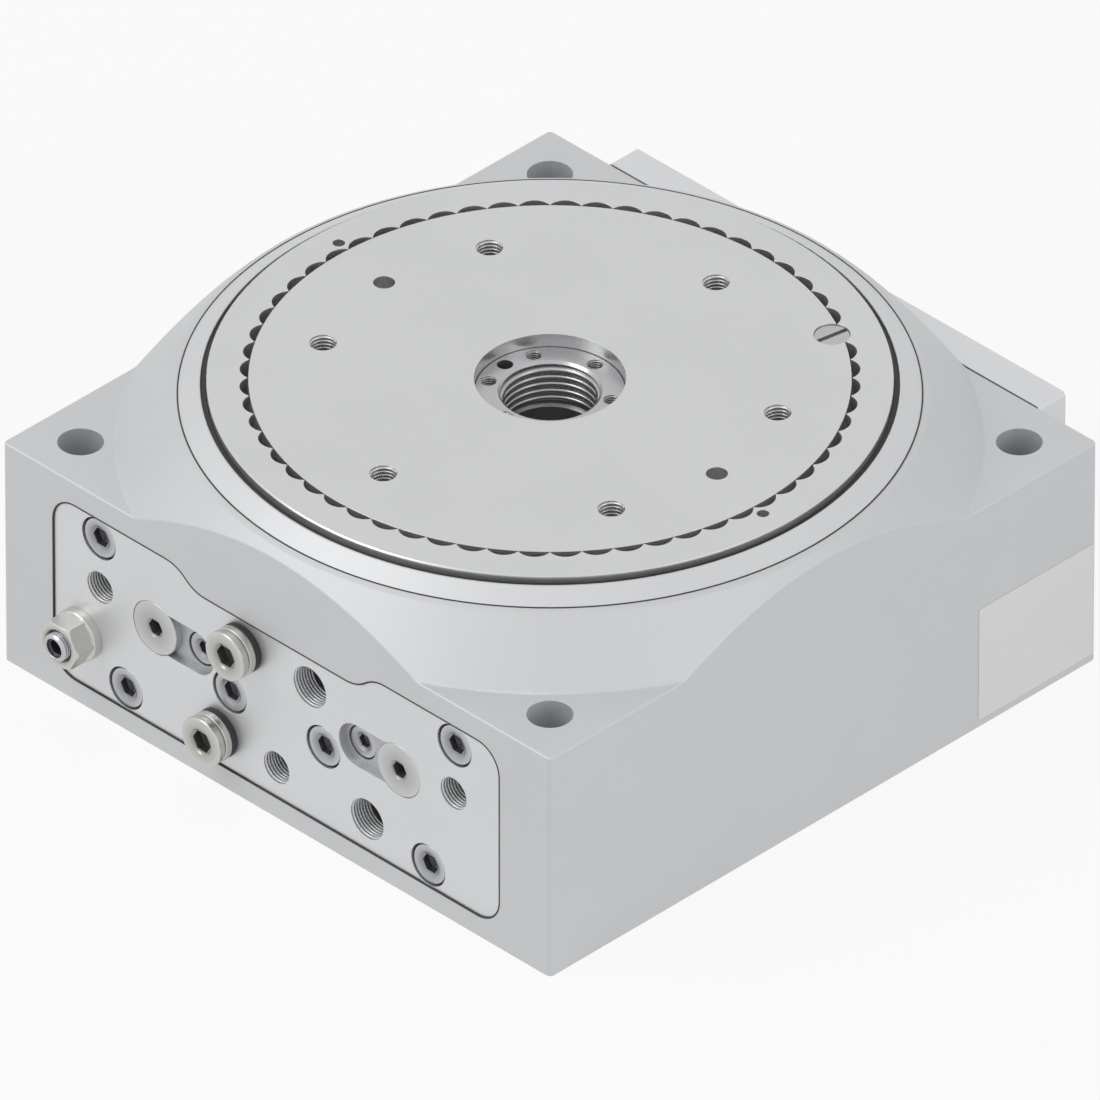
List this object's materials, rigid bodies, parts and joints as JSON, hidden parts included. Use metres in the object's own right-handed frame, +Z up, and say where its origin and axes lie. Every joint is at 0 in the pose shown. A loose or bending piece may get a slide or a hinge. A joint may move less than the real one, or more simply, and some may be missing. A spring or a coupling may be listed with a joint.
{
  "type": "rotary indexing table",
  "caption": "Square pneumatic indexing table with a round turning plate, a fixed hollow centre column and a front plate with air ports, plugs and adjusters.",
  "frame": {"origin": "on the table's axis, at the flat underside of the body", "axes": "+Z up along the table's axis, -Y towards the connection plate, +X to its right as seen from the front"},
  "size_m": [0.28, 0.308, 0.1244],
  "materials": {
    "housing_alloy": "fine bead-blasted and clear anodised",
    "cover_alloy": "milled and clear anodised",
    "ground_steel": "ground flat, faint turning marks",
    "hardened_steel": "hardened and ground",
    "gear_steel": "hobbed and case-hardened",
    "bearing_steel": "fine ground and oiled",
    "screw_steel": "zinc-plated steel, satin",
    "spring_steel": "oil-tempered wire",
    "plug_metal": "nickel-plated brass",
    "bronze": "bearing bronze, turned",
    "seal_rubber": "black nitrile rubber",
    "gasket_sheet": "dark fibre gasket"
  },
  "bodies": {
    "base": {"housing": "housing_alloy", "front_frame": "housing_alloy", "base_cover": "cover_alloy", "base_gasket": "gasket_sheet", "base_cover_screws": "screw_steel", "column_screws": "screw_steel", "rear_cover": "cover_alloy", "rear_gasket": "gasket_sheet", "rear_cover_screws": "screw_steel", "shock_absorbers": "screw_steel", "connection_plate": "cover_alloy", "connection_gasket": "gasket_sheet", "connection_screws": "screw_steel", "stop_clamp_screws": "screw_steel", "port_plugs": "plug_metal", "port_plug_seals": "seal_rubber", "throttle_nut": "plug_metal", "collar_ring": "housing_alloy", "table_seal": "seal_rubber", "bearing_outer_ring": "bearing_steel", "centre_column": "hardened_steel", "thrust_washer": "bronze", "driver_clip": "spring_steel", "lock_sleeve": "bronze", "lock_spring": "spring_steel"},
    "table": {"bearing_inner_ring": "bearing_steel", "table_ring": "ground_steel", "table_plate": "ground_steel", "table_key_screw": "hardened_steel", "index_ring": "hardened_steel", "table_screws": "screw_steel"},
    "rollers": {"bearing_rollers": "bearing_steel"},
    "driver": {"driver_hub": "gear_steel", "driver_bushes": "bronze", "drive_pin_spring": "spring_steel"},
    "drive_pin": {"drive_pin": "hardened_steel"},
    "lock_bolt": {"lock_bolt": "hardened_steel"},
    "rack_left": {"rack_left": "gear_steel", "piston_seals_left": "seal_rubber"},
    "rack_right": {"rack_right": "gear_steel", "piston_seals_right": "seal_rubber"},
    "stop_screw_left": {"stop_screw_left": "screw_steel"},
    "stop_screw_right": {"stop_screw_right": "screw_steel"},
    "throttle_screw": {"throttle_screw": "hardened_steel"}
  },
  "joints": [
    {"name": "table_spin", "type": "hinge", "parent": "base", "child": "table", "pos_m": [0, 0, 0.102], "axis": [0, 0, 1], "continuous": true},
    {"name": "roller_orbit", "type": "hinge", "parent": "base", "child": "rollers", "pos_m": [0, 0, 0.102], "axis": [0, 0, 1], "continuous": true},
    {"name": "driver_turn", "type": "hinge", "parent": "base", "child": "driver", "pos_m": [0, 0, 0.052], "axis": [0, 0, 1], "range_deg": [0, 90]},
    {"name": "rack_left_slide", "type": "slide", "parent": "base", "child": "rack_left", "axis": [0, 1, 0], "range_m": [-0.07545, 0]},
    {"name": "rack_right_slide", "type": "slide", "parent": "base", "child": "rack_right", "axis": [0, 1, 0], "range_m": [0, 0.07545]},
    {"name": "drive_pin_slide", "type": "slide", "parent": "driver", "child": "drive_pin", "axis": [1, 0, 0], "range_m": [0, 0.008]},
    {"name": "lock_bolt_slide", "type": "slide", "parent": "base", "child": "lock_bolt", "axis": [0, -1, 0], "range_m": [0, 0.006]},
    {"name": "stop_screw_left_turn", "type": "hinge", "parent": "base", "child": "stop_screw_left", "pos_m": [-0.0625, -0.1395, 0.052], "axis": [0, -1, 0], "range_deg": [-180, 180]},
    {"name": "stop_screw_right_turn", "type": "hinge", "parent": "base", "child": "stop_screw_right", "pos_m": [0.0625, -0.1395, 0.052], "axis": [0, -1, 0], "range_deg": [-180, 180]},
    {"name": "throttle_turn", "type": "hinge", "parent": "base", "child": "throttle_screw", "pos_m": [-0.1, -0.154, 0.0313], "axis": [0, -1, 0], "range_deg": [-180, 180]}
  ],
  "couplings": [
    {"joint": "roller_orbit", "follows": "table_spin", "ratio": 0.488},
    {"joint": "rack_left_slide", "follows": "driver_turn", "m_per_rad": -0.048},
    {"joint": "rack_right_slide", "follows": "driver_turn", "m_per_rad": 0.048}
  ]
}
